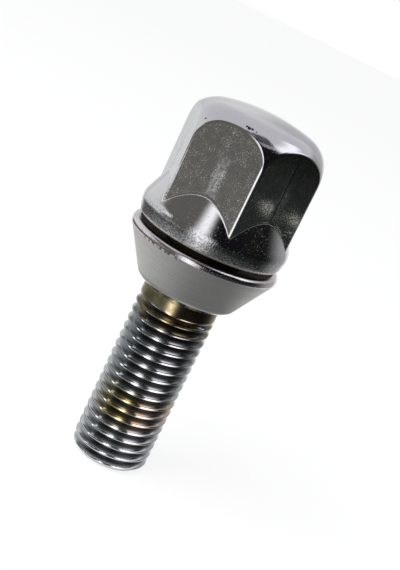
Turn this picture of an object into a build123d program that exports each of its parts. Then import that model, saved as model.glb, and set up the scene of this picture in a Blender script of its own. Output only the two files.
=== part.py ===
from build123d import *

import os
from math import cos, hypot, radians, sin, sqrt, tan

# Wheel bolt with a captive conical collar, standing on its threaded end.
# Sizes are millimetres and degrees; heights are counted up from the end face.

# Threaded shank
THREAD_DIAMETER = 11.85
THREAD_LENGTH = 26.0
THREAD_RUNOUT = 0.5
END_CHAMFER = 0.7

# Neck that the collar turns on, and the shoulder that keeps the collar there
NECK_DIAMETER = 11.0
COLLAR_CLEARANCE = 0.15
RETAINING_STEP = 0.15
SHOULDER_HEIGHT = 1.8

# Conical collar
COLLAR_SEAT_GAP = 0.05
COLLAR_FLOAT = 0.85
SEAT_ANGLE = 60.0
TOE_WALL = 0.7
TOE_BEVEL_WIDTH = 1.2
TOE_BEVEL_HEIGHT = 0.75
RIM_OVERHANG = 0.08
RIM_LAND = 0.38
LIP_ROUND = 0.65
LIP_FLAT = 0.35
DISH_ANGLE = 15.0

# Flared skirt of the head
FLANGE_MARGIN = 0.38
FLANGE_BAND_HEIGHT = 1.8
FLANGE_TUCK = 0.27
FLANGE_EDGE_BEVEL = 0.4
SKIRT_ANGLE = 24.0
SKIRT_ROUND = 3.1
SKIRT_ROOT_DEPTH = 0.6

# Hexagon and its domed crown
HEX_ACROSS_FLATS = 18.6
HEX_EDGE_ROUND = 0.5
FLAT_HOLLOW = 0.07
HEAD_HEIGHT = 19.25
CROWN_SIDE_ROUND = 36.0
CROWN_SIDE_ANGLE = 4.6
CROWN_SHOULDER_ROUND = 5.2
DOME_RADIUS = 28.5

HEX_SIDES = 6
HALF_TURN_OF_A_SIDE = 180.0 / HEX_SIDES

# Radii that follow from the sizes above
thread_radius = THREAD_DIAMETER / 2
neck_radius = NECK_DIAMETER / 2
bore_radius = neck_radius + COLLAR_CLEARANCE
shoulder_radius = bore_radius + RETAINING_STEP
flat_distance = HEX_ACROSS_FLATS / 2
corner_radius = flat_distance / cos(radians(HALF_TURN_OF_A_SIDE))
flange_radius = corner_radius + FLANGE_MARGIN
foot_radius = flange_radius - FLANGE_TUCK
rim_radius = flange_radius + RIM_OVERHANG
dish_radius = rim_radius - LIP_ROUND - LIP_FLAT
toe_radius = bore_radius + TOE_WALL
bevel_radius = toe_radius + TOE_BEVEL_WIDTH
lip_radius = rim_radius - LIP_ROUND * (1 - cos(radians(45)))
skirt_radius = flange_radius - SKIRT_ROUND * (1 - cos(radians(SKIRT_ANGLE)))
root_radius = flat_distance - SKIRT_ROOT_DEPTH

# Heights, stacked up from the end face
seat_slope = tan(radians(SEAT_ANGLE / 2))
dish_slope = tan(radians(DISH_ANGLE))
shoulder_top = THREAD_LENGTH + SHOULDER_HEIGHT
collar_foot = shoulder_top + COLLAR_SEAT_GAP
bevel_top = collar_foot + TOE_BEVEL_HEIGHT
seat_top = bevel_top + (rim_radius - bevel_radius) / seat_slope
land_top = seat_top + RIM_LAND
lip_middle = land_top + LIP_ROUND * sin(radians(45))
lip_top = land_top + LIP_ROUND
dish_foot = lip_top - (dish_radius - bore_radius) * dish_slope
flange_foot = lip_top + COLLAR_FLOAT
boss_foot = flange_foot - (dish_radius - neck_radius) * dish_slope
flange_ring = flange_foot + FLANGE_BAND_HEIGHT
skirt_height = flange_ring + SKIRT_ROUND * sin(radians(SKIRT_ANGLE))
root_height = skirt_height + (skirt_radius - root_radius) / tan(radians(SKIRT_ANGLE))
head_top = flange_foot + HEAD_HEIGHT

# Crown's section: a nearly upright arc, a shoulder arc and the dome, each tangent to the next
side_cos = cos(radians(CROWN_SIDE_ANGLE))
side_sin = sin(radians(CROWN_SIDE_ANGLE))
dome_centre = head_top - DOME_RADIUS
dome_reach = DOME_RADIUS - CROWN_SHOULDER_ROUND
shoulder_x = corner_radius - CROWN_SIDE_ROUND + (CROWN_SIDE_ROUND - CROWN_SHOULDER_ROUND) * side_cos
shoulder_z = dome_centre + sqrt(dome_reach**2 - shoulder_x**2)
crown_foot = shoulder_z - (CROWN_SIDE_ROUND - CROWN_SHOULDER_ROUND) * side_sin
side_end = (shoulder_x + CROWN_SHOULDER_ROUND * side_cos, shoulder_z + CROWN_SHOULDER_ROUND * side_sin)
brim_scale = DOME_RADIUS / dome_reach
brim = (shoulder_x * brim_scale, dome_centre + (shoulder_z - dome_centre) * brim_scale)


def turned(outline):
    """A solid turned about the upright axis from a closed outline in the XZ plane."""
    return revolve(make_face(Plane.XZ * outline), Axis.Z)


def make_shank_and_skirt():
    """Everything of the bolt that is round about its axis, up to the root of the hexagon."""
    below = Polyline(
        (skirt_radius, skirt_height),
        (root_radius, root_height),
        (0, root_height),
        (0, 0),
        (thread_radius - END_CHAMFER, 0),
        (thread_radius, END_CHAMFER),
        (thread_radius, THREAD_LENGTH - THREAD_RUNOUT),
        (shoulder_radius, THREAD_LENGTH),
        (shoulder_radius, shoulder_top),
        (neck_radius, shoulder_top),
        (neck_radius, boss_foot),
        (dish_radius, flange_foot),
        (foot_radius - FLANGE_EDGE_BEVEL, flange_foot),
        (foot_radius, flange_foot + FLANGE_EDGE_BEVEL),
        (flange_radius, flange_ring),
    )
    skirt = RadiusArc((flange_radius, flange_ring), (skirt_radius, skirt_height), -SKIRT_ROUND)
    return turned(below + skirt)


def make_crown():
    """The rounded and domed envelope that cuts the hexagon's corners back at the top."""
    core = Polyline((0, head_top), (0, flange_ring), (corner_radius, flange_ring), (corner_radius, crown_foot))
    side = RadiusArc((corner_radius, crown_foot), side_end, -CROWN_SIDE_ROUND)
    shoulder = RadiusArc(side_end, brim, -CROWN_SHOULDER_ROUND)
    dome = RadiusArc(brim, (0, head_top), -DOME_RADIUS)
    return turned(core + side + shoulder + dome)


def make_hexagon():
    """The hexagon with rounded edges, each flat drawn in a little to a crease at its middle."""
    corners = []
    for side in range(HEX_SIDES):
        flat_angle = side * 2 * HALF_TURN_OF_A_SIDE - 90
        corners.append(Vector(flat_distance - FLAT_HOLLOW, 0).rotate(Axis.Z, flat_angle))
        corners.append(Vector(corner_radius, 0).rotate(Axis.Z, flat_angle + HALF_TURN_OF_A_SIDE))
    outline = make_face(Polyline(*corners, close=True))
    prism = extrude(Pos(0, 0, flange_ring) * outline, head_top - flange_ring)
    uprights = prism.edges().filter_by(Axis.Z)
    outer = [edge for edge in uprights if hypot(edge.center().X, edge.center().Y) > flat_distance]
    return fillet(outer, HEX_EDGE_ROUND)


def make_bolt():
    """The forging: shank, neck, boss and skirt under a domed hexagon."""
    return make_shank_and_skirt() + (make_hexagon() & make_crown())


def make_cone_collar():
    """The loose ring: conical seat, rim with a lip eased in two bevels, dished top and plain bore."""
    outline = Polyline(
        (rim_radius - LIP_ROUND, lip_top),
        (dish_radius, lip_top),
        (bore_radius, dish_foot),
        (bore_radius, collar_foot),
        (toe_radius, collar_foot),
        (bevel_radius, bevel_top),
        (rim_radius, seat_top),
        (rim_radius, land_top),
        (lip_radius, lip_middle),
        close=True,
    )
    return turned(outline)


os.makedirs("parts", exist_ok=True)
export_step(make_bolt(), "parts/bolt.step")
export_step(make_cone_collar(), "parts/cone_collar.step")
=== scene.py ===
"""Wheel bolt with a captive conical collar: looks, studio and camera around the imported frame."""

import math

import bpy
import numpy as np
from mathutils import Matrix, Vector, noise


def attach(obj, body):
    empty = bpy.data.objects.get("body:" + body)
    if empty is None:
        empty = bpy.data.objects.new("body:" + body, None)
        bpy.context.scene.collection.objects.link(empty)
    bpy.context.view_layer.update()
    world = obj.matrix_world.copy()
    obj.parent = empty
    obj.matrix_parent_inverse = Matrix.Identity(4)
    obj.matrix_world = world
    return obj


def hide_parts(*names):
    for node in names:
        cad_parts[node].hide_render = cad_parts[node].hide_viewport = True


# Lengths are millimetres in this script and metres in Blender. Heights count up from the end face.
MM = 0.001

# Threaded shank
THREAD_RADIUS = 5.925
THREAD_LENGTH = 26.0
THREAD_PITCH = 1.5
THREAD_PHASE = -0.3
FLANK_SLOPE = math.tan(math.radians(60.0))
END_CHAMFER = 0.7
END_FACE_RADII = (1.8, 3.5, 4.7)
# One turn of the thread in shares of the pitch from its crest, and the rows of points across it
CREST_HALF_WIDTH = 0.045
CREST_EASE = 0.10
ROOT_EASE = 0.16
HALF_PITCH = 0.5
# Where the painted shade in the roots starts and how fast it rises
ROOT_SHADE_START = 0.15
ROOT_SHADE_RISE = 0.2
THREAD_STEPS = (
    -0.4, -0.3, -0.2, -0.16, -0.12, -0.08, -0.04, 0.0,
    0.04, 0.08, 0.12, 0.16, 0.2, 0.3, 0.4, 0.5,
)
# Extra fall away from the crest, in millimetres at a whole pitch
CREST_CROWN = 0.28
# Top of the thread, where it fades into a blank that narrows to the shoulder
RUNOUT_GAP = 0.15
RUNOUT_LENGTH = 0.9
TAPER_START = 24.6
TAPER_LENGTH = 1.2

# Neck, shoulder and the underside of the head
SHOULDER_RADIUS = 5.8
SHOULDER_TOP = 27.8
NECK_RADIUS = 5.5
BOSS_FOOT = 35.541
DISH_RADIUS = 10.199
FLANGE_FOOT = 36.80
FOOT_RADIUS = 10.849
FOOT_BEVEL = 0.4
FOOT_LAND = 0.05
FOOT_CORNER = (FOOT_RADIUS - 0.06, FLANGE_FOOT + 0.02)
WORN_HEIGHT = 0.22
BAND_START = 0.6
# Sections as pairs of radius and height
SHOULDER_SECTION = (
    (SHOULDER_RADIUS, 26.35),
    (SHOULDER_RADIUS, 26.8),
    (SHOULDER_RADIUS, 27.3),
    (SHOULDER_RADIUS, 27.65),
    (SHOULDER_RADIUS - 0.03, 27.76),
    (SHOULDER_RADIUS - 0.1, SHOULDER_TOP),
)
UNDER_SECTION = (
    (NECK_RADIUS, SHOULDER_TOP),
    (NECK_RADIUS, 30.5),
    (NECK_RADIUS, 33.0),
    (NECK_RADIUS, BOSS_FOOT),
    (7.0, 35.95),
    (8.6, 36.38),
    (DISH_RADIUS, FLANGE_FOOT),
)

# Skirt
FLANGE_RADIUS = 11.119
FLANGE_RING = 38.60
RING_EASE = 0.3
SKIRT_ROUND = 3.1
SKIRT_ANGLE = math.radians(24.0)
SKIRT_REACH = 6.0

# Hexagon: flats drawn in to a crease, a narrow worn bevel along each side and a rounded edge
SIXTH = math.radians(60.0)
FLAT_DISTANCE = 9.3
CORNER_RADIUS = 10.739
EDGE_ROUND = 0.34
EDGE_BEVEL_WIDTH = 0.16
EDGE_BEVEL_ANGLE = math.radians(9.0)
FLAT_HOLLOW = 0.07
ARCH_EASE = 0.2
BROW_EASE = 0.26
CREASE_HALF_WIDTH = 0.1
# Painted shade in the crease of each flat, from the one that faces -Y
CREASE_SHADE = (0.2, 1.0, 0.5, 0.4, 0.6, 0.3)
# Columns of points from the middle of a flat to its end, across its bevel and round its edge
FLAT_STEPS = (0.0, 0.06, 0.14, 0.4, 0.9, 1.4, 2.0, 2.6, 3.2, 3.8, 4.3, 4.7)
FLAT_END_STEP = 0.06
BEVEL_SHARES = (0.0, 0.3, 0.8, 1.0)
CORNER_STEPS = 5
# Stored place along a flat: how far past its end the rounded edge counts, and the value off the flats
CORNER_PLACE = 0.3
OFF_FLAT = 9.0

# Crown: a nearly upright arc, a shoulder arc and the dome, with plain circles of points near the top
HEAD_TOP = 56.049
CROWN_SIDE_ROUND = 36.0
CROWN_SIDE_ANGLE = math.radians(4.6)
CROWN_SHOULDER_ROUND = 5.2
DOME_RADIUS = 28.5
DOME_EDGE = 6.4
# Slight unevenness of the forged head
SWELL = 0.006
SWELL_SCALE = 0.55
SWELL_SEED = 3.1

# Collar
BORE_RADIUS = 5.65
BORE_EASE = 0.1
COLLAR_FOOT = 27.85
TOE_RADIUS = 6.35
BEVEL_RADIUS = 7.55
BEVEL_TOP = 28.60
RIM_RADIUS = 11.19
SEAT_SLOPE = math.tan(math.radians(30.0))
SEAT_TOP = 34.92
CONE_SINK = 0.02
CONE_TOP = SEAT_TOP - 0.10
CONE_FOOT = BEVEL_TOP + 0.12
LAND_TOP = 35.30
LIP_ROUND = 0.65
LIP_LAND = 0.08
LIP_TOP = 35.949
DISH_FOOT = 34.731
DISH_SECTION = (
    (BORE_RADIUS, COLLAR_FOOT + BORE_EASE),
    (BORE_RADIUS, 30.0),
    (BORE_RADIUS, 32.5),
    (BORE_RADIUS, DISH_FOOT - BORE_EASE),
    (BORE_RADIUS + BORE_EASE, DISH_FOOT + 0.02),
    (7.2, 35.14),
    (8.8, 35.57),
    (DISH_RADIUS - 0.05, LIP_TOP - 0.015),
)
LAND_SECTION = (
    (RIM_RADIUS, LAND_TOP - 0.2),
    (RIM_RADIUS - 0.01, SEAT_TOP + 0.08),
    (RIM_RADIUS - 0.06, SEAT_TOP - 0.04),
)
TOE_SECTION = (
    (BEVEL_RADIUS - 0.05, BEVEL_TOP),
    (BEVEL_RADIUS - 0.2, BEVEL_TOP - 0.12),
    (6.95, 28.2),
    (TOE_RADIUS + 0.1, COLLAR_FOOT + 0.05),
)
FOOT_SECTION = (
    (TOE_RADIUS, COLLAR_FOOT),
    (BORE_RADIUS + BORE_EASE, COLLAR_FOOT),
)
COLLAR_COLUMNS = 216

# Rows of points and samples in the sections
EASE_ROWS = 7
FOOT_ROWS = 6
BAND_ROWS = 7
SKIRT_ROWS = 20
FLAT_ROWS = 32
CROWN_ROWS = 28
DOME_ROWS = 14
LIP_ROWS = 11
CONE_ROWS = 24
ARC_SAMPLES = 1200
SKIRT_SAMPLES = 3000
# Rows of the eased arch that get a painted highlight
HIGHLIGHT_ROWS = (2, 3)
# Points that agree to this many decimals are one point, and edges sharper than the angle stay sharp
WELD_DECIMALS = 4
SHARP_ANGLE = math.radians(38.0)

# Colours of the finishes
PLATING = (0.55, 0.55, 0.57, 1.0)
PLATING_PIT = (0.14, 0.13, 0.12, 1.0)
FROSTED = (0.85, 0.84, 0.82, 1.0)
CAST_SPECK = (0.16, 0.155, 0.15, 1.0)
WORN_FOOT = (0.62, 0.44, 0.32, 1.0)
# Painted highlight along the arch
ARCH_HIGHLIGHT = (0.92, 0.92, 0.9, 1.0)
# Dark chips, and painted shade in the crease of each flat
CHIP_AND_SHADE_DARK = (0.02, 0.02, 0.025, 1.0)
CONE_DARK = (0.42, 0.425, 0.42, 1.0)
CONE_LIGHT = (0.54, 0.545, 0.54, 1.0)
RIM_PLATING = (0.60, 0.57, 0.60, 1.0)
RIM_PIT = (0.20, 0.15, 0.12, 1.0)
RIM_CHIP = (0.13, 0.085, 0.06, 1.0)
BAND_LIGHT = (0.40, 0.34, 0.21, 1.0)
BAND_BROWN = (0.27, 0.21, 0.12, 1.0)
# Painted shade on one side of the band
BAND_SHADE = (0.10, 0.08, 0.05, 1.0)
THREAD_BRIGHT = (0.56, 0.58, 0.60, 1.0)
THREAD_YELLOW = (0.52, 0.44, 0.22, 1.0)
THREAD_PINK = (0.60, 0.49, 0.43, 1.0)
THREAD_BROWN = (0.36, 0.29, 0.17, 1.0)
# Painted shade in the thread's roots
ROOT_SHADE = (0.03, 0.03, 0.028, 1.0)
# Bare steel in the gap and the bore, darkened further as painted shade
DULL_DARK = (0.07, 0.07, 0.055, 1.0)
DULL_LIGHT = (0.13, 0.13, 0.10, 1.0)

# Roughness of the finishes, and what marks add to it
PLATING_ROUGH = 0.04
SPECK_ROUGH = 0.16
STRIPE_ROUGH = 0.28
GLINT_ROUGH = 0.42
# Added roughness where the chips, the worn foot and the painted crease shade lie
SHADE_CHIP_WEAR_ROUGH = 0.25
CONE_ROUGH = 0.38
CONE_BRUSHED = 0.7
RIM_ROUGH = 0.09
CHIP_ROUGH = 0.25
TOE_POLISH = -0.2
BAND_ROUGH = 0.26
CREST_ROUGH = 0.12
ROOT_ROUGH = 0.36
DULL_ROUGH = 0.55

# Heights between which marks come or go
LOW_SKIRT = (38.4, 40.4)
SKIRT_RIDGES = (39.6, 43.0)
GLINT_FADE = (40.5, 45.0)
STRIPE_FADE = (47.5, 50.5)
RIM_BORDER = (SEAT_TOP - 0.06, SEAT_TOP + 0.04)
CHIP_LINE = SEAT_TOP + 0.05
TOE_FADE = (BEVEL_TOP - 0.1, BEVEL_TOP + 0.15)
STAIN_RING = (7.6, 12.6)
BROWN_TOP = (22.2, 24.6)
# Azimuths that marks lie towards, in degrees from -Y towards +X
ROUGH_SIDE = -12.0
SCUFFED_SIDE = 0.0
CHIPPED_SIDE = -14.0
# Side of the band's painted shade
BAND_SHADE_SIDE = 50.0
STAINED_SIDE = 40.0
PINK_SIDE = 78.0
# Side where the roots' painted shade is heaviest
ROOT_SHADE_SIDE = 36.0
# Places along a flat: where its frosted patches end, and the middle of its dull stripe
FROST_ENDS = (5.2, 6.0)
STRIPE_MIDDLE = 0.35
# Dark chips in the plating above the front flat: place and size
CHIPS = (
    ((0.75, -8.7, 54.22), 0.20),
    ((1.1, -8.78, 54.12), 0.26),
    ((1.55, -8.66, 54.18), 0.22),
    ((2.15, -8.62, 54.1), 0.13),
    ((-4.87, -8.81, 52.6), 0.18),
)
# Depth of the ridges round the skirt, and a shift that sets one noise apart from another
RIDGE_DEPTH = 0.012
NOISE_SHIFT = (31.0, 17.0, 5.0)
# Layout of the nodes in an editor
NODE_SPACING = (180, 160)
NODE_ROWS = 5

# Floor and surroundings
WHITE = (1.0, 1.0, 1.0, 1.0)
FLOOR_HALF_WIDTH = 3000.0
FLOOR_PAPER = (0.9, 0.9, 0.9, 1.0)
FLOOR_GLOW = 0.85
HIGH_WHITE = (0.80, 0.79, 0.83, 1.0)
SOFT_WHITE = (0.95, 0.97, 1.0, 1.0)
SOFT_STRENGTH = 0.75

# Studio cards, each a flag or a lamp panel that only mirrors see, as a grid of points
STUDIO_CENTRE = Vector((0.0, 0.0, 42.0)) * MM
CARD_STEPS = 41
# Standing cards: azimuths, elevations, distance, soft edges, colour, strength.
# Soft edges are degrees: left, right, bottom, top.
STANDING_CARDS = {
    "back_right_card": ((100, 172), (-8, 38), 305, (16, 16, 2, 10), (1, 1, 1), 0.5),
    "back_left_card": ((-170, -118), (-8, 26), 306, (16, 12, 2, 12), (0.98, 0.99, 1), 0.78),
    "back_card": ((-206, -157), (4, 36), 304, (14, 12, 10, 10), (0.97, 0.97, 1), 0.62),
    "front_left_flag": ((-68, -4), (-12, 50), 300, (8, 5, 2, 6), (1, 0.97, 0.87), 0.17),
    "front_flag": ((-10, 36), (-12, 70), 299, (6, 8, 4, 6), (1, 0.95, 0.9), 0.04),
    "front_high_flag": ((-26, 0), (44, 70), 299.5, (8, 6, 8, 6), (1, 0.95, 0.9), 0.05),
    "front_right_flag": ((20, 100), (-8, 60), 298, (6, 8, 4, 7), (0.75, 0.65, 1), 0.012),
    "front_top_flag": ((-24, 14), (70, 83), 304, (10, 8, 4, 6), (0.95, 0.9, 1), 0.14),
    "right_top_flag": ((0, 74), (56, 86), 303, (10, 14, 4, 8), (0.9, 0.85, 1), 0.14),
    "right_flag": ((64, 152), (-10, 38), 296, (7, 44, 4, 8), (0.9, 1, 0.85), 0.012),
    "top_line": ((10, 78), (56.5, 64.5), 290, (12, 14, 3, 3), (0.97, 0.95, 1), 0.45),
    "front_strip_low": ((-16, 30), (-12, 18), 280, (18, 24, 2, 6), (1, 1, 1), 1.8),
    "front_strip_high": ((-16, 20), (10, 43), 282, (18, 16, 6, 4), (1, 1, 1), 1.6),
    "left_lamp": ((-66, -46), (1, 18), 284, (5, 5, 4, 4), (1, 1, 1), 1.3),
    "right_softbox_high": ((58, 154), (46, 73), 288, (28, 10, 10, 14), (0.98, 0.96, 1), 1.7),
    "right_softbox_low": ((86, 136), (25, 54), 286, (18, 18, 14, 8), (0.98, 0.96, 1), 1.7),
    "side_spot": ((103.5, 104.4), (-9.7, -8.8), 169, (0.4, 0.4, 0.4, 0.4), (1, 0.98, 0.85), 2.2),
}
# Near cards that only the thread or the skirt mirrors: azimuths, heights, radius and the rest as above.
# Soft edges are degrees and millimetres: left, right, bottom, top.
UPRIGHT_CARDS = {
    "thread_dot": ((-45, -36.5), (0.8, 22), 12, (3, 3, 1, 2), (1, 1, 1), 2.8),
    "thread_glow": ((-3, 16.5), (0.8, 26.5), 12.5, (8, 8, 1, 2), (1, 1, 1), 3.4),
    "thread_line": ((36, 86), (0.8, 22), 12, (8, 32, 1, 2), (1, 0.94, 0.97), 2.8),
    "skirt_flag": ((-70, -32), (43, 50), 20, (24, 6, 1.5, 2), (1, 0.94, 0.88), 0.18),
}
# Lying cards: azimuths, radii, height and the rest as above.
# Soft edges are degrees and millimetres: left, right, inner, outer.
LYING_CARDS = {
    "back_right_floor": ((100, 172), (6.5, 450), 0.15, (16, 16, 0.5, 20), (1, 1, 1), 0.5),
    "left_floor_flag": ((-160, 6), (6.5, 230), 0.2, (78, 6, 0.5, 60), (0.88, 1, 0.95), 0.22),
    "back_left_floor": ((-170, -118), (180, 450), 0.1, (16, 12, 50, 20), (0.98, 0.99, 1), 0.78),
    "right_floor_flag": ((2, 150), (6.5, 450), 0.25, (6, 44, 0.5, 20), (0.85, 1, 0.92), 0.03),
    "front_far_flag": ((-40, -2), (150, 450), 0.3, (14, 6, 40, 20), (1, 0.97, 0.87), 0.18),
    "floor_strip": ((-16, 28), (50, 290), 0.45, (20, 24, 10, 40), (1, 1, 1), 1.7),
    "floor_glow": ((-20, 26), (6.5, 62), 0.4, (22, 24, 1, 10), (1, 1, 1), 0.85),
    "under_shelf": ((-76, 128), (7.7, 15), 28.05, (14, 24, 0.3, 1), (1, 1, 1), 0.012),
    "under_shelf_left": ((-72, -8), (13, 46), 28, (20, 10, 0.5, 4), (1, 1, 1), 0.02),
    "band_shelf": ((-120, -8), (22, 48), 28.2, (10, 14, 1, 4), (1, 1, 1), 0.15),
    "cone_shelf": ((-180, 180), (7.6, 24), 28.3, (0.1, 0.1, 0.1, 2), (1, 1, 0.97), 0.24),
    "cone_shelf_left": ((-170, 40), (7.6, 24), 28.4, (20, 110, 0.1, 2), (1, 1, 0.98), 0.95),
    "cone_shelf_right": ((60, 180), (7.6, 24), 28.5, (80, 10, 0.1, 2), (1, 1, 0.98), 1.15),
}

# Key lamp
LAMP_AZIMUTH = -40.0
LAMP_ELEVATION = 55.0
LAMP_DISTANCE = 600.0
LAMP_SIZE = 400.0
LAMP_POWER = 3.0

# Camera, with angles in degrees
CAMERA_AZIMUTH = 16.6
CAMERA_ELEVATION = 16.44
CAMERA_ROLL = 25.84
CAMERA_DISTANCE = 143.16
CAMERA_AIM_HEIGHT = 29.864
CAMERA_AIM_RIGHT = 1.62
CAMERA_NEAR = 5.0
CAMERA_FAR = 20000.0
FOCAL_PIXELS = 1000.0
FRAME_HEIGHT = 570.0
SENSOR = 36.0


def smoothstep(value):
    """Eases a value from 0 to 1, held at both ends."""
    value = np.clip(value, 0.0, 1.0)
    return value * value * (3.0 - 2.0 * value)


def wander(x, y, z, scale, seed):
    """Smooth noise between about -1 and 1 at points in millimetres."""
    flat = zip(np.ravel(x) * scale + seed, np.ravel(y) * scale - seed, np.ravel(z) * scale)
    values = [noise.noise(Vector(point)) for point in flat]
    return np.array(values).reshape(np.shape(x))


def outward(azimuth, elevation):
    """The direction from the object at an azimuth and an elevation in degrees."""
    a = math.radians(azimuth)
    e = math.radians(elevation)
    return Vector((math.sin(a) * math.cos(e), -math.cos(a) * math.cos(e), math.sin(e)))


def hexagon_columns():
    """Angle, radius, place along its flat and crease of each upright column of the head."""
    lean = complex(math.cos(EDGE_BEVEL_ANGLE), math.sin(EDGE_BEVEL_ANGLE))
    along = complex(-lean.imag, lean.real)
    centre = FLAT_DISTANCE - EDGE_BEVEL_WIDTH * lean.imag - EDGE_ROUND * lean.real
    centre = complex(centre, centre * math.tan(SIXTH / 2))
    bevel_start = centre + EDGE_ROUND * lean - EDGE_BEVEL_WIDTH * along
    end = bevel_start.imag
    half = [complex(FLAT_DISTANCE - FLAT_HOLLOW * (1 - step / end), step) for step in FLAT_STEPS]
    half.append(complex(FLAT_DISTANCE - FLAT_HOLLOW * FLAT_END_STEP / end, end - FLAT_END_STEP))
    half += [bevel_start + along * EDGE_BEVEL_WIDTH * share for share in BEVEL_SHARES]
    flat = [point.conjugate() for point in reversed(half[1:])] + half
    turns = np.linspace(EDGE_BEVEL_ANGLE, SIXTH - EDGE_BEVEL_ANGLE, CORNER_STEPS + 2)[1:-1]
    corner = [centre + EDGE_ROUND * complex(math.cos(turn), math.sin(turn)) for turn in turns]
    points = []
    places = []
    creases = []
    for side, shade_and_chips in enumerate(CREASE_SHADE):
        facing = side * SIXTH - math.pi / 2
        facing = complex(math.cos(facing), math.sin(facing))
        points += [point * facing for point in flat + corner]
        places += [point.imag for point in flat] + [end + CORNER_PLACE] * CORNER_STEPS
        # Each flat's crease gets its own amount of painted shade
        creases += [shade_and_chips if abs(point.imag) < CREASE_HALF_WIDTH else 0.0 for point in flat]
        creases += [0.0] * CORNER_STEPS
    points = np.array(points)
    return np.unwrap(np.angle(points)), np.abs(points), np.array(places), np.array(creases)


HEX_ANGLES, HEX_RADII, HEX_PLACES, HEX_CREASES = hexagon_columns()
COLUMNS = len(HEX_ANGLES)
EVEN_ANGLES = HEX_ANGLES[0] + np.arange(COLUMNS) * (2 * math.pi / COLUMNS)


def skirt_radius(height):
    """Radius of the skirt at a height: a round above the ring that runs into a cone."""
    tangent = FLANGE_RING + SKIRT_ROUND * math.sin(SKIRT_ANGLE)
    inner = FLANGE_RADIUS - SKIRT_ROUND * (1 - math.cos(SKIRT_ANGLE))
    rise = np.clip(height - FLANGE_RING, 0.0, SKIRT_ROUND)
    round_part = FLANGE_RADIUS - SKIRT_ROUND + np.sqrt(SKIRT_ROUND ** 2 - rise ** 2)
    cone_part = inner - (height - tangent) * math.tan(SKIRT_ANGLE)
    return np.where(height < tangent, round_part, cone_part)


def crown_table():
    """Heights, radii and running length of the crown's outline, from the hexagon's corners to the top."""
    step_in = CROWN_SIDE_ROUND - CROWN_SHOULDER_ROUND
    dome_centre = HEAD_TOP - DOME_RADIUS
    x = CORNER_RADIUS - CROWN_SIDE_ROUND + step_in * math.cos(CROWN_SIDE_ANGLE)
    z = dome_centre + math.sqrt((DOME_RADIUS - CROWN_SHOULDER_ROUND) ** 2 - x ** 2)
    brim = math.atan2(z - dome_centre, x)
    foot = z - step_in * math.sin(CROWN_SIDE_ANGLE)
    arcs = (
        (CORNER_RADIUS - CROWN_SIDE_ROUND, foot, CROWN_SIDE_ROUND, 0.0, CROWN_SIDE_ANGLE),
        (x, z, CROWN_SHOULDER_ROUND, CROWN_SIDE_ANGLE, brim),
        (0.0, dome_centre, DOME_RADIUS, brim, math.pi / 2),
    )
    turns = [np.linspace(start, stop, ARC_SAMPLES) for *_, start, stop in arcs]
    radii = np.concatenate([arc[0] + arc[2] * np.cos(turn) for arc, turn in zip(arcs, turns)])
    heights = np.concatenate([arc[1] + arc[2] * np.sin(turn) for arc, turn in zip(arcs, turns)])
    length = np.concatenate(([0.0], np.cumsum(np.hypot(np.diff(heights), np.diff(radii)))))
    return heights, radii, length


def fillet_rows(before, corner, after, count):
    """Points on the small curve that eases a corner between two others, in a section."""
    rows = []
    for step in np.linspace(0.0, 1.0, count):
        near = (1 - step) ** 2
        far = step ** 2
        mid = 2 * step * (1 - step)
        rows.append(tuple(near * a + mid * b + far * c for a, b, c in zip(before, corner, after)))
    return rows


def band_section():
    """Radii and heights of the leaning band under the skirt's ring, and of the ring's eased edge."""
    lean = (FLANGE_RADIUS - FOOT_RADIUS) / (FLANGE_RING - FLANGE_FOOT - FOOT_BEVEL)
    heights = np.linspace(FLANGE_FOOT + BAND_START, FLANGE_RING - RING_EASE, BAND_ROWS)
    band = [(FLANGE_RADIUS - (FLANGE_RING - height) * lean, height) for height in heights]
    after = (float(skirt_radius(FLANGE_RING + RING_EASE)), FLANGE_RING + RING_EASE)
    return band + fillet_rows(band[-1], (FLANGE_RADIUS, FLANGE_RING), after, EASE_ROWS)[1:-1]


def head_rows():
    """Sections of the skirt, the flats and the crown, from the ring to just below the top."""
    heights, radii, length = crown_table()
    skirt_heights = np.linspace(FLANGE_RING, FLANGE_RING + SKIRT_REACH, SKIRT_SAMPLES)
    arch = np.interp(-HEX_RADII, -skirt_radius(skirt_heights), skirt_heights)
    brow = np.interp(-HEX_RADII, -radii, heights)
    brow_length = np.interp(brow, heights, length)
    rows = []
    foot = FLANGE_RING + RING_EASE
    for step in np.linspace(0.0, 1.0, SKIRT_ROWS):
        place = foot + (arch - ARCH_EASE - foot) * step
        rows.append((skirt_radius(place), place, "skirt"))
    before = (skirt_radius(arch - ARCH_EASE), arch - ARCH_EASE)
    after = (HEX_RADII, arch + ARCH_EASE)
    eased = fillet_rows(before, (HEX_RADII, arch), after, EASE_ROWS)[1:]
    # The rows labelled bright carry the painted highlight of the arch
    rows += [(r, z, "bright" if row in HIGHLIGHT_ROWS else "arch") for row, (r, z) in enumerate(eased)]
    for step in np.linspace(0.0, 1.0, FLAT_ROWS)[1:-1]:
        place = arch + ARCH_EASE + (brow - BROW_EASE - arch - ARCH_EASE) * step
        rows.append((HEX_RADII, place, "flat"))
    before = (HEX_RADII, brow - BROW_EASE)
    over = brow_length + BROW_EASE
    after = (np.interp(over, length, radii), np.interp(over, length, heights))
    rows += [(r, z, "brow") for r, z in fillet_rows(before, (HEX_RADII, brow), after, EASE_ROWS)]
    shoulder = np.interp(-DOME_EDGE, -radii, length)
    for step in np.linspace(0.0, 1.0, CROWN_ROWS)[1:]:
        run = over + (shoulder - over) * step
        rows.append((np.interp(run, length, radii), np.interp(run, length, heights), "crown"))
    for radius in np.linspace(DOME_EDGE, 0.0, DOME_ROWS)[1:-1]:
        height = np.interp(-radius, -radii, heights)
        rows.append((np.full(COLUMNS, radius), np.full(COLUMNS, height), "crown"))
    return rows


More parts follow.
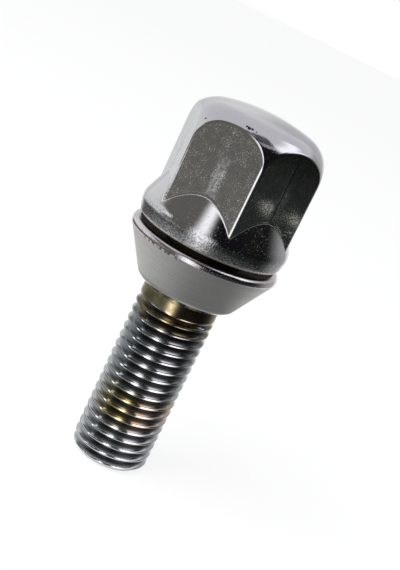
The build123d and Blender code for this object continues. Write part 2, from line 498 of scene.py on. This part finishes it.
def thread_radius(angle, height):
    """Radius of the rolled right-hand thread, from its chamfered start to its run-out, and how far into
    its root each point lies, which sets the painted shade there.
    """
    turn = (height / THREAD_PITCH - angle / (2 * math.pi) + THREAD_PHASE) % 1.0
    off_crest = np.minimum(turn, 1.0 - turn)
    eased = np.clip(off_crest - CREST_HALF_WIDTH, 0.0, CREST_EASE)
    flank = np.clip(off_crest - CREST_HALF_WIDTH - CREST_EASE, 0.0, HALF_PITCH)
    rounded = np.clip(off_crest - HALF_PITCH + ROOT_EASE, 0.0, ROOT_EASE)
    fall = eased ** 2 / (2 * CREST_EASE) + flank - rounded ** 2 / (2 * ROOT_EASE)
    depth = fall * THREAD_PITCH * FLANK_SLOPE + CREST_CROWN * off_crest ** 2
    groove = smoothstep((off_crest - ROOT_SHADE_START) / ROOT_SHADE_RISE)
    fade = smoothstep((THREAD_LENGTH - RUNOUT_GAP - height) / RUNOUT_LENGTH)
    taper = smoothstep((height - TAPER_START) / TAPER_LENGTH)
    blank = THREAD_RADIUS - (THREAD_RADIUS - SHOULDER_RADIUS) * taper
    chamfer = THREAD_RADIUS - END_CHAMFER + height
    return np.minimum(blank - depth * fade, chamfer), groove * fade


def add_object(name, data):
    """A new object in the scene."""
    item = bpy.data.objects.new(name, data)
    bpy.context.scene.collection.objects.link(item)
    return item


class SectionMesh:
    """A closed mesh made of rings of points about the axis."""

    def __init__(self):
        self.points = []
        self.faces = []
        self.zones = []
        self.groove = []
        self.place = []
        self.crease = []

    def ring(self, radius, height, angles, groove=0.0, place=OFF_FLAT, crease=0.0):
        """Adds one ring of points and returns their numbers."""
        start = len(self.points)
        radius = np.broadcast_to(radius, angles.shape)
        height = np.broadcast_to(height, angles.shape)
        self.points += list(zip(radius * np.cos(angles), radius * np.sin(angles), height))
        self.groove += list(np.broadcast_to(groove, angles.shape))
        self.place += list(np.broadcast_to(place, angles.shape))
        self.crease += list(np.broadcast_to(crease, angles.shape))
        return np.arange(start, start + len(angles))

    def pole(self, height):
        """Adds one point on the axis."""
        self.points.append((0.0, 0.0, height))
        self.groove.append(0.0)
        self.place.append(OFF_FLAT)
        self.crease.append(0.0)
        return len(self.points) - 1

    def join(self, lower, upper, zone, shift_lower=None, shift_upper=None):
        """Joins two rings; the shifted points are those on the far side of a helical seam."""
        next_lower = np.roll(lower, -1)
        next_upper = np.roll(upper, -1)
        if shift_lower is not None:
            next_lower[-1] = shift_lower
            next_upper[-1] = shift_upper
        for quad in zip(lower, next_lower, next_upper, upper):
            self.faces.append(tuple(int(number) for number in quad))
            self.zones.append(zone)

    def stack(self, last, section, angles, zone):
        """Adds a ring for each radius and height, joined to the one before, and returns the last."""
        for radius, height in section:
            ring = self.ring(radius, height, angles)
            self.join(last, ring, zone)
            last = ring
        return last

    def cap(self, pole, ring, zone, top):
        """Closes the mesh between a ring and a pole."""
        following = np.roll(ring, -1)
        for a, b in zip(ring, following):
            self.faces.append((int(a), int(b), pole) if top else (int(b), int(a), pole))
            self.zones.append(zone)

    def build(self, name, materials):
        """Makes the Blender object, with points that coincide welded into one."""
        keys = np.round(np.array(self.points), WELD_DECIMALS)
        unique, first, inverse = np.unique(keys, axis=0, return_index=True, return_inverse=True)
        inverse = np.ravel(inverse)
        names = list(materials)
        faces = []
        slots = []
        for face, zone in zip(self.faces, self.zones):
            welded = []
            for number in face:
                if inverse[number] not in welded:
                    welded.append(int(inverse[number]))
            if len(welded) > 2:
                faces.append(welded)
                slots.append(names.index(zone))
        mesh = bpy.data.meshes.new(name)
        mesh.from_pydata([tuple(point) for point in unique * MM], [], faces)
        for material in materials.values():
            mesh.materials.append(material)
        mesh.polygons.foreach_set("material_index", slots)
        for label, values in (("groove", self.groove), ("place", self.place), ("crease", self.crease)):
            layer = mesh.attributes.new(label, "FLOAT", "POINT")
            layer.data.foreach_set("value", np.array(values, float)[first])
        mesh.polygons.foreach_set("use_smooth", [True] * len(faces))
        mesh.set_sharp_from_angle(angle=SHARP_ANGLE)
        mesh.validate()
        mesh.update()
        return add_object(name, mesh)


def add_thread(body):
    """Adds the end face and the rolled thread, and returns the ring at the thread's top."""
    rings = [body.ring(radius, 0.0, EVEN_ANGLES) for radius in END_FACE_RADII]
    body.cap(body.pole(0.0), rings[0], "thread", top=False)
    for lower, upper in zip(rings, rings[1:]):
        body.join(lower, upper, "thread")
    turns = EVEN_ANGLES - EVEN_ANGLES[0]
    # The helix starts a turn below the end face and ends above the thread, and is held between the two
    whole_turns = math.ceil(THREAD_LENGTH / THREAD_PITCH) + 2
    phases = [turn - 1 + step - THREAD_PHASE for turn in range(whole_turns) for step in THREAD_STEPS]
    helix = []
    for phase in phases:
        height = np.clip(THREAD_PITCH * (phase + turns / (2 * math.pi)), 0.0, THREAD_LENGTH)
        radius, groove = thread_radius(turns, height)
        helix.append(body.ring(radius, height, EVEN_ANGLES, groove=groove))
    body.join(rings[-1], helix[0], "thread")
    rows_per_turn = len(THREAD_STEPS)
    last_row = len(helix) - 1
    for row in range(last_row):
        over = helix[min(row + rows_per_turn, last_row)][0]
        beyond = helix[min(row + 1 + rows_per_turn, last_row)][0]
        body.join(helix[row], helix[row + 1], "thread", over, beyond)
    return helix[-1]


def make_bolt(materials):
    """The whole forging: end face, rolled thread, shoulder, neck, boss, skirt, flats and crown."""
    body = SectionMesh()
    last = add_thread(body)
    last = body.stack(last, SHOULDER_SECTION, EVEN_ANGLES, "band")
    last = body.stack(last, UNDER_SECTION, HEX_ANGLES, "under")
    edge = FOOT_RADIUS - FOOT_BEVEL
    after = (FOOT_RADIUS, FLANGE_FOOT + FOOT_BEVEL)
    foot = fillet_rows((edge, FLANGE_FOOT), FOOT_CORNER, after, FOOT_ROWS)
    for radius, height in [(edge - FOOT_LAND, FLANGE_FOOT)] + foot:
        worn = float(height < FLANGE_FOOT + WORN_HEIGHT)
        ring = body.ring(radius, height, HEX_ANGLES, groove=worn)
        body.join(last, ring, "head")
        last = ring
    last = body.stack(last, band_section(), HEX_ANGLES, "head")
    for radius, height, part in head_rows():
        x = radius * np.cos(HEX_ANGLES)
        y = radius * np.sin(HEX_ANGLES)
        swell = SWELL * wander(x, y, height, SWELL_SCALE, SWELL_SEED)
        on_flat = part == "flat"
        place = HEX_PLACES if on_flat else OFF_FLAT
        # The crease is -1 on the arch rows that get a painted highlight
        crease = HEX_CREASES if on_flat else -float(part == "bright")
        ring = body.ring(radius + swell, height, HEX_ANGLES, place=place, crease=crease)
        body.join(last, ring, "head")
        last = ring
    body.cap(body.pole(HEAD_TOP), last, "head", top=True)
    return body.build("bolt_forging", materials)


def make_collar(materials):
    """The loose ring: bore and dished top, plated lip, turned cone and toe."""
    outer = [(DISH_RADIUS + LIP_LAND, LIP_TOP)]
    for turn in np.radians(np.linspace(90.0, 0.0, LIP_ROWS)):
        radius = RIM_RADIUS - LIP_ROUND * (1 - math.cos(turn))
        outer.append((radius, LAND_TOP + LIP_ROUND * math.sin(turn)))
    outer += LAND_SECTION
    for height in np.linspace(CONE_TOP, CONE_FOOT, CONE_ROWS):
        outer.append((BEVEL_RADIUS + (height - BEVEL_TOP) * SEAT_SLOPE - CONE_SINK, height))
    outer += TOE_SECTION
    angles = np.arange(COLLAR_COLUMNS) * (2 * math.pi / COLLAR_COLUMNS)
    collar = SectionMesh()
    rings = []
    for zone, section in (("dull", DISH_SECTION), ("rim", outer), ("dull", FOOT_SECTION)):
        rings += [(zone, collar.ring(radius, height, angles)) for radius, height in section]
    for (zone, ring), (_, following) in zip(rings, rings[1:] + rings[:1]):
        collar.join(following, ring, zone)
    return collar.build("cone_ring", materials)


class Wiring:
    """Short ways to add and link nodes in one node tree."""

    def __init__(self, tree):
        self.tree = tree
        self.count = 0

    def connect(self, node, links):
        """Links a node's inputs, or sets those given as plain values."""
        for socket, source in links.items():
            if isinstance(source, bpy.types.NodeSocket):
                self.tree.links.new(source, node.inputs[socket])
            else:
                node.inputs[socket].default_value = source

    def add(self, kind, links=None, **settings):
        """Adds a node, sets its properties and connects its inputs."""
        node = self.tree.nodes.new(kind)
        across, down = NODE_SPACING
        node.location = (self.count * across, -(self.count % NODE_ROWS) * down)
        self.count += 1
        for name, value in settings.items():
            setattr(node, name, value)
        self.connect(node, links or {})
        return node

    def group(self, group, **links):
        """The outputs of one placed copy of a shared effect."""
        return self.add("ShaderNodeGroup", links, node_tree=group).outputs

    def math(self, operation, a, b=0.0, c=0.0):
        """One Math node's result."""
        return self.add("ShaderNodeMath", {0: a, 1: b, 2: c}, operation=operation).outputs[0]

    def times(self, a, b):
        """Two values multiplied."""
        return self.math("MULTIPLY", a, b)

    def raised(self, base, mask, amount):
        """A value raised by an amount where a mask is 1."""
        return self.math("MULTIPLY_ADD", mask, amount, base)

    def vector(self, operation, a, b, output=0):
        """One Vector Math node's result."""
        return self.add("ShaderNodeVectorMath", {0: a, 1: b}, operation=operation).outputs[output]

    def spread(self, value, low, high, to_low=0.0, to_high=1.0):
        """A value eased from one range to another, held at the ends."""
        settings = {0: value, 1: low, 2: high, 3: to_low, 4: to_high}
        return self.add("ShaderNodeMapRange", settings, interpolation_type="SMOOTHSTEP").outputs[0]

    def fade(self, value, low, high):
        """1 below a range and 0 above it."""
        return self.spread(value, low, high, 1.0, 0.0)

    def between(self, value, low, high, soft):
        """1 between two values and 0 outside them, with soft ends."""
        rising = self.spread(value, low - soft, low + soft)
        return self.times(rising, self.fade(value, high - soft, high + soft))

    def noise(self, vector, scale, detail=2.0, rough=0.5):
        """One Noise texture's value."""
        settings = {"Vector": vector, "Scale": scale, "Detail": detail, "Roughness": rough}
        return self.add("ShaderNodeTexNoise", settings).outputs[0]

    def mix(self, factor, a, b):
        """Two colours mixed."""
        return self.add("ShaderNodeMix", {0: factor, 6: a, 7: b}, data_type="RGBA").outputs[2]

    def squeezed(self, vector, x, y, z):
        """A vector scaled along each axis."""
        return self.vector("MULTIPLY", vector, (x, y, z))

    def millimetres(self):
        """The place on the piece, in millimetres."""
        place = self.add("ShaderNodeTexCoord").outputs["Object"]
        return self.squeezed(place, 1 / MM, 1 / MM, 1 / MM)

    def height(self, place):
        """How high a place is."""
        return self.add("ShaderNodeSeparateXYZ", {0: place}).outputs[2]

    def facing(self, place, azimuth, radius):
        """How far a place lies towards an azimuth, from -1 to 1 at a radius."""
        return self.vector("DOT_PRODUCT", place, outward(azimuth, 0.0) / radius, "Value")

    def attribute(self, name):
        """A value stored on the mesh."""
        return self.add("ShaderNodeAttribute", attribute_name=name).outputs["Fac"]


def new_group(name, values, results):
    """An empty shader node group for a vector and some values, with its wiring, inputs and exit."""
    group = bpy.data.node_groups.new(name, "ShaderNodeTree")
    group.interface.new_socket("Vector", in_out="INPUT", socket_type="NodeSocketVector")
    for label, value in values.items():
        socket = group.interface.new_socket(label, in_out="INPUT", socket_type="NodeSocketFloat")
        socket.default_value = value
    for label in results:
        group.interface.new_socket(label, in_out="OUTPUT", socket_type="NodeSocketFloat")
    wiring = Wiring(group)
    given = wiring.add("NodeGroupInput").outputs
    exit_node = wiring.add("NodeGroupOutput")
    return group, wiring, given, exit_node


def make_pitting_group():
    """Fine grain, dull specks and sparse dark pits in a plated surface."""
    values = {"Scale": 6.0, "Depth": 0.01}
    group, wiring, given, exit_node = new_group("plating_grain", values, ("Height", "Specks", "Pits"))
    vector = given["Vector"]
    scale = given["Scale"]
    peel = wiring.noise(vector, scale, detail=3.0, rough=0.6)
    aside = wiring.vector("ADD", vector, NOISE_SHIFT)
    specks = wiring.spread(wiring.noise(aside, wiring.times(scale, 0.9)), 0.55, 0.68)
    cells = {"Vector": aside, "Scale": wiring.times(scale, 0.3)}
    spots = wiring.add("ShaderNodeTexVoronoi", cells).outputs[0]
    sparse = wiring.spread(wiring.noise(aside, wiring.times(scale, 0.12), detail=1.0), 0.5, 0.6)
    pits = wiring.times(wiring.fade(spots, 0.07, 0.16), sparse)
    height = wiring.times(wiring.math("SUBTRACT", peel, pits), given["Depth"])
    wiring.connect(exit_node, {"Height": height, "Specks": specks, "Pits": pits})
    return group


def make_turning_group():
    """Fine lines left round the axis by a lathe tool."""
    values = {"Lines": 9.0, "Depth": 0.004}
    group, wiring, given, exit_node = new_group("turning_lines", values, ("Height", "Shade"))
    flat = wiring.squeezed(given["Vector"], 0.002, 0.002, 1.0)
    fine = wiring.noise(flat, given["Lines"], rough=0.6)
    coarse = wiring.noise(flat, wiring.times(given["Lines"], 0.3), detail=1.0)
    shade = wiring.math("ADD", wiring.times(fine, 0.6), wiring.times(coarse, 0.4))
    wiring.connect(exit_node, {"Height": wiring.times(shade, given["Depth"]), "Shade": shade})
    return group


def make_stain_group():
    """Uneven brown tarnish that follows a given mask."""
    values = {"Mask": 1.0, "Scale": 0.5}
    group, wiring, given, exit_node = new_group("tarnish", values, ("Stain",))
    cloud = wiring.noise(given["Vector"], given["Scale"], detail=3.0, rough=0.6)
    stain = wiring.times(wiring.spread(cloud, 0.3, 0.62), given["Mask"])
    wiring.connect(exit_node, {"Stain": stain})
    return group


def new_material(name):
    """An empty material and its wiring."""
    material = bpy.data.materials.new(name)
    material.use_nodes = True
    material.node_tree.nodes.clear()
    return material, Wiring(material.node_tree)


def new_metal(name):
    """A metal material with its wiring and its shader."""
    material, wiring = new_material(name)
    shader = wiring.add("ShaderNodeBsdfPrincipled", {"Metallic": 1.0})
    wiring.add("ShaderNodeOutputMaterial", {0: shader.outputs[0]})
    return material, wiring, shader


def bump(wiring, shader, height):
    """Feeds a height in millimetres to the shader's normal."""
    node = wiring.add("ShaderNodeBump", {"Strength": 1.0, "Distance": MM, "Height": height})
    wiring.connect(shader, {"Normal": node.outputs[0]})


def chip_mask(wiring, place):
    """1 inside the chips, with ragged edges."""
    ragged = wiring.add("ShaderNodeTexNoise", {"Vector": place, "Scale": 5.0, "Detail": 2.0}).outputs[1]
    shift = wiring.squeezed(wiring.vector("SUBTRACT", ragged, (0.5, 0.5, 0.5)), 0.5, 0.5, 0.25)
    moved = wiring.vector("ADD", place, shift)
    mask = 0.0
    for centre, size in CHIPS:
        away = wiring.vector("DISTANCE", moved, centre, "Value")
        mask = wiring.math("MAXIMUM", mask, wiring.fade(away, size * 0.7, size * 1.2))
    return mask


def make_head_plating(pitting):
    """Bright plating: speckled, scuffed down the flats, chipped at the brow, worn at the foot, with
    painted shade in each flat's crease and a painted highlight on the arch.
    """
    material, wiring, shader = new_metal("head_plating")
    place = wiring.millimetres()
    height = wiring.height(place)
    along = wiring.attribute("place")
    grain = wiring.group(pitting, Vector=place, Scale=7.0, Depth=0.002)
    low = wiring.fade(height, *LOW_SKIRT)

    # Frosted patches on the flats, dark specks low on the skirt, chips, a worn foot, painted shade in each
    # flat's crease and a painted highlight on the arch
    frost = wiring.spread(wiring.noise(place, scale=5.5, rough=0.6), 0.46, 0.62)
    frost = wiring.times(frost, wiring.fade(wiring.math("ABSOLUTE", along), *FROST_ENDS))
    cloud = wiring.spread(wiring.noise(place, scale=0.9, detail=3.0), 0.36, 0.62, to_low=0.25)
    frost = wiring.times(frost, cloud)
    cast = wiring.spread(wiring.noise(place, scale=3.6, rough=0.6), 0.46, 0.58)
    cast = wiring.times(cast, low)
    crease = wiring.attribute("crease")
    # The arch rows marked -1 get a painted highlight
    arch = wiring.fade(crease, -1.0, -0.3)
    # Painted shade in the flats' creases, joined with the dark chips
    shade_and_chips = wiring.math("MAXIMUM", crease, chip_mask(wiring, place))
    worn = wiring.attribute("groove")
    colour = wiring.mix(grain["Pits"], PLATING, PLATING_PIT)
    colour = wiring.mix(frost, colour, FROSTED)
    colour = wiring.mix(wiring.times(cast, 0.6), colour, CAST_SPECK)
    colour = wiring.mix(worn, colour, WORN_FOOT)
    # Painted highlight along the arch
    colour = wiring.mix(arch, colour, ARCH_HIGHLIGHT)
    colour = wiring.mix(shade_and_chips, colour, CHIP_AND_SHADE_DARK)

    # Duller: a streaked stripe down each flat, the scuffed front flat, small glints, the painted arch
    # highlight, the worn foot, the chips and the painted crease shade
    off_stripe = wiring.math("ABSOLUTE", wiring.math("SUBTRACT", along, STRIPE_MIDDLE))
    stripe = wiring.fade(off_stripe, 0.2, 1.3)
    stripe = wiring.times(stripe, wiring.spread(height, *STRIPE_FADE, to_low=1.0, to_high=0.1))
    streaks = wiring.noise(wiring.squeezed(place, 3.0, 3.0, 1.2), scale=1.0, detail=4.0, rough=0.7)
    stripe = wiring.times(stripe, wiring.spread(streaks, 0.32, 0.62, to_low=0.35))
    front = wiring.facing(place, SCUFFED_SIDE, FLAT_DISTANCE)
    scuffs = wiring.spread(front, 0.85, 0.98, to_low=0.03, to_high=0.14)
    glints = wiring.noise(wiring.squeezed(place, 1.0, 1.0, 1.1), scale=4.2, detail=1.0)
    glints = wiring.spread(glints, 0.66, 0.74)
    glints = wiring.times(glints, wiring.spread(height, *GLINT_FADE, to_low=1.0, to_high=0.3))
    rough = wiring.raised(PLATING_ROUGH, grain["Specks"], SPECK_ROUGH)
    rough = wiring.raised(rough, stripe, STRIPE_ROUGH)
    rough = wiring.raised(rough, frost, scuffs)
    rough = wiring.raised(rough, wiring.math("MAXIMUM", glints, arch), GLINT_ROUGH)
    rough = wiring.raised(rough, wiring.math("MAXIMUM", shade_and_chips, worn), SHADE_CHIP_WEAR_ROUGH)
    wiring.connect(shader, {"Base Color": colour, "Roughness": rough})

    # Relief: grain all over, a rough low skirt and fine ridges round it
    depth = wiring.facing(place, ROUGH_SIDE, FLANGE_RADIUS)
    depth = wiring.spread(depth, 0.45, 0.85, to_low=0.014, to_high=0.03)
    relief = wiring.times(wiring.noise(place, scale=6.0), wiring.times(low, depth))
    ridges = wiring.noise(wiring.squeezed(place, 0.25, 0.25, 3.0), scale=1.0)
    skirt = wiring.between(height, *SKIRT_RIDGES, soft=0.6)
    relief = wiring.raised(relief, ridges, wiring.times(skirt, RIDGE_DEPTH))
    bump(wiring, shader, wiring.math("ADD", grain["Height"], relief))
    return material


def make_collar_steel(pitting, turning):
    """Satin turned seat under a plated rim, with a ragged and partly chipped border between them."""
    material, wiring, shader = new_metal("collar_steel")
    place = wiring.millimetres()
    height = wiring.height(place)
    wobble = wiring.math("SUBTRACT", wiring.noise(place, scale=1.8, detail=3.0), 0.5)
    plated = wiring.spread(wiring.raised(height, wobble, 0.5), *RIM_BORDER)
    lines = wiring.group(turning, Vector=place, Lines=16.0, Depth=0.004)
    grain = wiring.group(pitting, Vector=place, Scale=5.0, Depth=0.012)
    off_border = wiring.math("ABSOLUTE", wiring.math("SUBTRACT", height, CHIP_LINE))
    chips = wiring.spread(wiring.noise(place, scale=2.4, detail=3.0, rough=0.6), 0.5, 0.58)
    chips = wiring.times(wiring.fade(off_border, 0.05, 0.35), chips)
    front = wiring.spread(wiring.facing(place, CHIPPED_SIDE, RIM_RADIUS), 0.9, 0.98)
    chips = wiring.times(chips, front)
    turned = wiring.mix(wiring.spread(lines["Shade"], 0.3, 0.7), CONE_DARK, CONE_LIGHT)
    bright = wiring.mix(grain["Pits"], RIM_PLATING, RIM_PIT)
    colour = wiring.mix(chips, wiring.mix(plated, turned, bright), RIM_CHIP)
    rough = wiring.spread(plated, 0.0, 1.0, to_low=CONE_ROUGH, to_high=RIM_ROUGH)
    rough = wiring.raised(rough, wiring.math("MAXIMUM", chips, grain["Specks"]), CHIP_ROUGH)
    rough = wiring.raised(rough, wiring.fade(height, *TOE_FADE), TOE_POLISH)
    around = wiring.add("ShaderNodeTangent", direction_type="RADIAL", axis="Z")
    brushed = wiring.spread(plated, 0.0, 1.0, to_low=CONE_BRUSHED, to_high=0.0)
    wiring.connect(shader, {"Base Color": colour, "Roughness": rough})
    wiring.connect(shader, {"Anisotropic": brushed, "Tangent": around.outputs[0]})
    bump(wiring, shader, wiring.mix(plated, lines["Height"], grain["Height"]))
    return material


def make_neck_band(turning, stain):
    """Brown tarnished shoulder above the thread, with painted shade on one side."""
    material, wiring, shader = new_metal("neck_band")
    place = wiring.millimetres()
    lines = wiring.group(turning, Vector=place, Lines=6.0, Depth=0.005)
    brown = wiring.group(stain, Vector=place, Mask=1.0, Scale=0.6)
    # Painted shade darkens the band on one side
    one_side_shade = wiring.spread(wiring.facing(place, BAND_SHADE_SIDE, SHOULDER_RADIUS), 0.8, 0.92)
    colour = wiring.mix(brown["Stain"], BAND_LIGHT, BAND_BROWN)
    colour = wiring.mix(one_side_shade, colour, BAND_SHADE)
    wiring.connect(shader, {"Base Color": colour, "Roughness": BAND_ROUGH})
    bump(wiring, shader, lines["Height"])
    return material


def make_rolled_thread(pitting, stain):
    """Bright rolled thread with painted shade in its roots, heaviest on one side, a stain part of the way
    up and a brown top.
    """
    material, wiring, shader = new_metal("rolled_thread")
    place = wiring.millimetres()
    height = wiring.height(place)
    groove = wiring.attribute("groove")
    grain = wiring.group(pitting, Vector=place, Scale=3.0, Depth=0.006)
    front = wiring.facing(place, STAINED_SIDE, THREAD_RADIUS)
    front = wiring.spread(front, -0.1, 0.7, to_low=0.1)
    patch = wiring.times(wiring.between(height, *STAIN_RING, soft=1.0), front)
    patch = wiring.times(patch, wiring.spread(wiring.noise(place, scale=0.5), 0.3, 0.6, to_low=0.5))
    pink = wiring.spread(wiring.facing(place, PINK_SIDE, THREAD_RADIUS), 0.45, 0.85)
    top = wiring.group(stain, Vector=place, Mask=wiring.spread(height, *BROWN_TOP), Scale=0.3)
    # Painted shade in the roots, heaviest on one side
    root_shade_weight = wiring.facing(place, ROOT_SHADE_SIDE, THREAD_RADIUS)
    root_shade_weight = wiring.spread(root_shade_weight, 0.2, 0.62, to_low=0.3, to_high=0.95)
    colour = wiring.mix(patch, THREAD_BRIGHT, wiring.mix(pink, THREAD_YELLOW, THREAD_PINK))
    colour = wiring.mix(top["Stain"], colour, THREAD_BROWN)
    colour = wiring.mix(wiring.times(groove, root_shade_weight), colour, ROOT_SHADE)
    rough = wiring.spread(groove, 0.2, 0.9, to_low=CREST_ROUGH, to_high=ROOT_ROUGH)
    wiring.connect(shader, {"Base Color": colour, "Roughness": rough})
    bump(wiring, shader, grain["Height"])
    return material


def make_dull_steel(turning):
    """Bare steel inside the gap and the bore, darkened further as painted shade."""
    material, wiring, shader = new_metal("shaded_dull_steel")
    lines = wiring.group(turning, Vector=wiring.millimetres(), Lines=5.0, Depth=0.006)
    colour = wiring.mix(wiring.spread(lines["Shade"], 0.3, 0.7), DULL_DARK, DULL_LIGHT)
    wiring.connect(shader, {"Base Color": colour, "Roughness": DULL_ROUGH})
    bump(wiring, shader, lines["Height"])
    return material


def background_ray(wiring):
    """1 for rays that see the background: straight from the camera, mirrored or refracted."""
    path = wiring.add("ShaderNodeLightPath").outputs
    seen = wiring.math("MAXIMUM", path["Is Camera Ray"], path["Is Glossy Ray"])
    return wiring.math("MAXIMUM", seen, path["Is Transmission Ray"])


def make_floor():
    """A plain pale floor that shows white and keeps a soft shadow."""
    material, wiring = new_material("pale_floor")
    paper = wiring.add("ShaderNodeBsdfDiffuse", {"Color": FLOOR_PAPER})
    white = wiring.add("ShaderNodeEmission", {"Color": WHITE, "Strength": 1.0})
    factor = wiring.times(background_ray(wiring), FLOOR_GLOW)
    mixed = wiring.add("ShaderNodeMixShader", {0: factor, 1: paper.outputs[0], 2: white.outputs[0]})
    wiring.add("ShaderNodeOutputMaterial", {0: mixed.outputs[0]})
    mesh = bpy.data.meshes.new("studio_floor")
    half = FLOOR_HALF_WIDTH * MM
    corners = [(-half, -half, 0), (half, -half, 0), (half, half, 0), (-half, half, 0)]
    mesh.from_pydata(corners, [], [(0, 1, 2, 3)])
    mesh.materials.append(material)
    floor = add_object("studio_floor", mesh)


def make_world():
    """A white studio all round, a little darker overhead."""
    world = bpy.data.worlds.new("white_studio")
    bpy.context.scene.world = world
    world.use_nodes = True
    world.node_tree.nodes.clear()
    wiring = Wiring(world.node_tree)
    rise = wiring.height(wiring.add("ShaderNodeTexCoord").outputs["Generated"])
    tint = wiring.mix(wiring.spread(rise, 0.15, 0.75), WHITE, HIGH_WHITE)
    soft = wiring.add("ShaderNodeBackground", {"Color": SOFT_WHITE, "Strength": SOFT_STRENGTH})
    white = wiring.add("ShaderNodeBackground", {"Color": tint, "Strength": 1.0})
    factor = background_ray(wiring)
    mixed = wiring.add("ShaderNodeMixShader", {0: factor, 1: soft.outputs[0], 2: white.outputs[0]})
    wiring.add("ShaderNodeOutputWorld", {0: mixed.outputs[0]})


def make_card_finish(name, colour, strength):
    """The even glow of a card, clear towards its edges."""
    material, wiring = new_material(name)
    solid = wiring.attribute("solid")
    clear = wiring.add("ShaderNodeBsdfTransparent")
    glow = wiring.add("ShaderNodeEmission", {"Color": (*colour, 1.0), "Strength": strength})
    mixed = wiring.add("ShaderNodeMixShader", {0: solid, 1: clear.outputs[0], 2: glow.outputs[0]})
    wiring.add("ShaderNodeOutputMaterial", {0: mixed.outputs[0]})
    return material


def standing(azimuth, elevation, distance):
    """A point on a standing card."""
    return STUDIO_CENTRE + outward(azimuth, elevation) * distance * MM


def upright(azimuth, height, radius):
    """A point on a near card round the axis."""
    return (outward(azimuth, 0.0) * radius + Vector((0.0, 0.0, height))) * MM


def lying(azimuth, radius, height):
    """A point on a lying card."""
    return upright(azimuth, height, radius)


def make_card(name, place, first, second, reach, soft, finish):
    """A studio card that only mirrors see, as a grid of points over two ranges, with soft edges."""
    points = []
    solid = []
    for a in np.linspace(*first, CARD_STEPS):
        for b in np.linspace(*second, CARD_STEPS):
            points.append(place(a, b, reach))
            in_first = min((a - first[0]) / soft[0], (first[1] - a) / soft[1])
            in_second = min((b - second[0]) / soft[2], (second[1] - b) / soft[3])
            solid.append(float(smoothstep(in_first) * smoothstep(in_second)))
    faces = []
    for row in range(CARD_STEPS - 1):
        for column in range(CARD_STEPS - 1):
            corner = row * CARD_STEPS + column
            faces.append((corner, corner + 1, corner + CARD_STEPS + 1, corner + CARD_STEPS))
    mesh = bpy.data.meshes.new(name)
    mesh.from_pydata(points, [], faces)
    mesh.materials.append(make_card_finish(name, *finish))
    mesh.attributes.new("solid", "FLOAT", "POINT").data.foreach_set("value", solid)
    card = add_object(name, mesh)
    card.visible_camera = False
    card.visible_diffuse = False
    card.visible_shadow = False


def make_studio():
    """Flags and lamp panels round the object and on the table."""
    for place, cards in ((standing, STANDING_CARDS), (upright, UPRIGHT_CARDS), (lying, LYING_CARDS)):
        for name, (first, second, reach, soft, *finish) in cards.items():
            make_card(name, place, first, second, reach, soft, finish)


def make_lamp():
    """A soft lamp for the floor's shadow and the duller surfaces."""
    light = bpy.data.lights.new("key_lamp", "AREA")
    light.size = LAMP_SIZE * MM
    light.energy = LAMP_POWER
    lamp = add_object("key_lamp", light)
    lamp.location = standing(LAMP_AZIMUTH, LAMP_ELEVATION, LAMP_DISTANCE)
    lamp.rotation_mode = "QUATERNION"
    lamp.rotation_quaternion = outward(LAMP_AZIMUTH, LAMP_ELEVATION).to_track_quat("Z", "Y")
    lamp.visible_glossy = False


def make_camera():
    """The camera at the photograph's viewing angle, rolled as it was held."""
    azimuth = math.radians(CAMERA_AZIMUTH)
    roll = math.radians(CAMERA_ROLL)
    right = Vector((math.cos(azimuth), math.sin(azimuth), 0.0))
    back = outward(CAMERA_AZIMUTH, CAMERA_ELEVATION)
    up = back.cross(right)
    aim = (Vector((0.0, 0.0, CAMERA_AIM_HEIGHT)) + right * CAMERA_AIM_RIGHT) * MM
    across = right * math.cos(roll) + up * math.sin(roll)
    upward = up * math.cos(roll) - right * math.sin(roll)
    data = bpy.data.cameras.new("photo_camera")
    data.sensor_width = SENSOR
    data.lens = FOCAL_PIXELS / FRAME_HEIGHT * SENSOR
    data.clip_start = CAMERA_NEAR * MM
    data.clip_end = CAMERA_FAR * MM
    camera = add_object("photo_camera", data)
    turn = Matrix((across, upward, back)).transposed()
    camera.matrix_world = Matrix.Translation(aim + back * CAMERA_DISTANCE * MM) @ turn.to_4x4()
    bpy.context.scene.camera = camera


def make_object():
    """The two pieces with their finishes, each on its own body."""
    pitting = make_pitting_group()
    turning = make_turning_group()
    stain = make_stain_group()
    dull = make_dull_steel(turning)
    bolt_finishes = {
        "head": make_head_plating(pitting),
        "under": dull,
        "band": make_neck_band(turning, stain),
        "thread": make_rolled_thread(pitting, stain),
    }
    collar_finishes = {"rim": make_collar_steel(pitting, turning), "dull": dull}
    bolt = make_bolt(bolt_finishes)
    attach(bolt, "bolt")
    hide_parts("bolt")
    collar = make_collar(collar_finishes)
    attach(collar, "collar")
    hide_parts("cone_collar")


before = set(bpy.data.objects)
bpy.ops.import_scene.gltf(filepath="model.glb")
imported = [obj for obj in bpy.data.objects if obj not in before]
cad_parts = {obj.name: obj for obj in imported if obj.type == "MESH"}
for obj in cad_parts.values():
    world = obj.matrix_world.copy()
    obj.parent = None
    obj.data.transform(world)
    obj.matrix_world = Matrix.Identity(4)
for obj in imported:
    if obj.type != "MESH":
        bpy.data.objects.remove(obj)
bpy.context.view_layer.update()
bpy.context.scene.view_settings.view_transform = "Standard"
make_object()
make_floor()
make_world()
make_studio()
make_lamp()
make_camera()
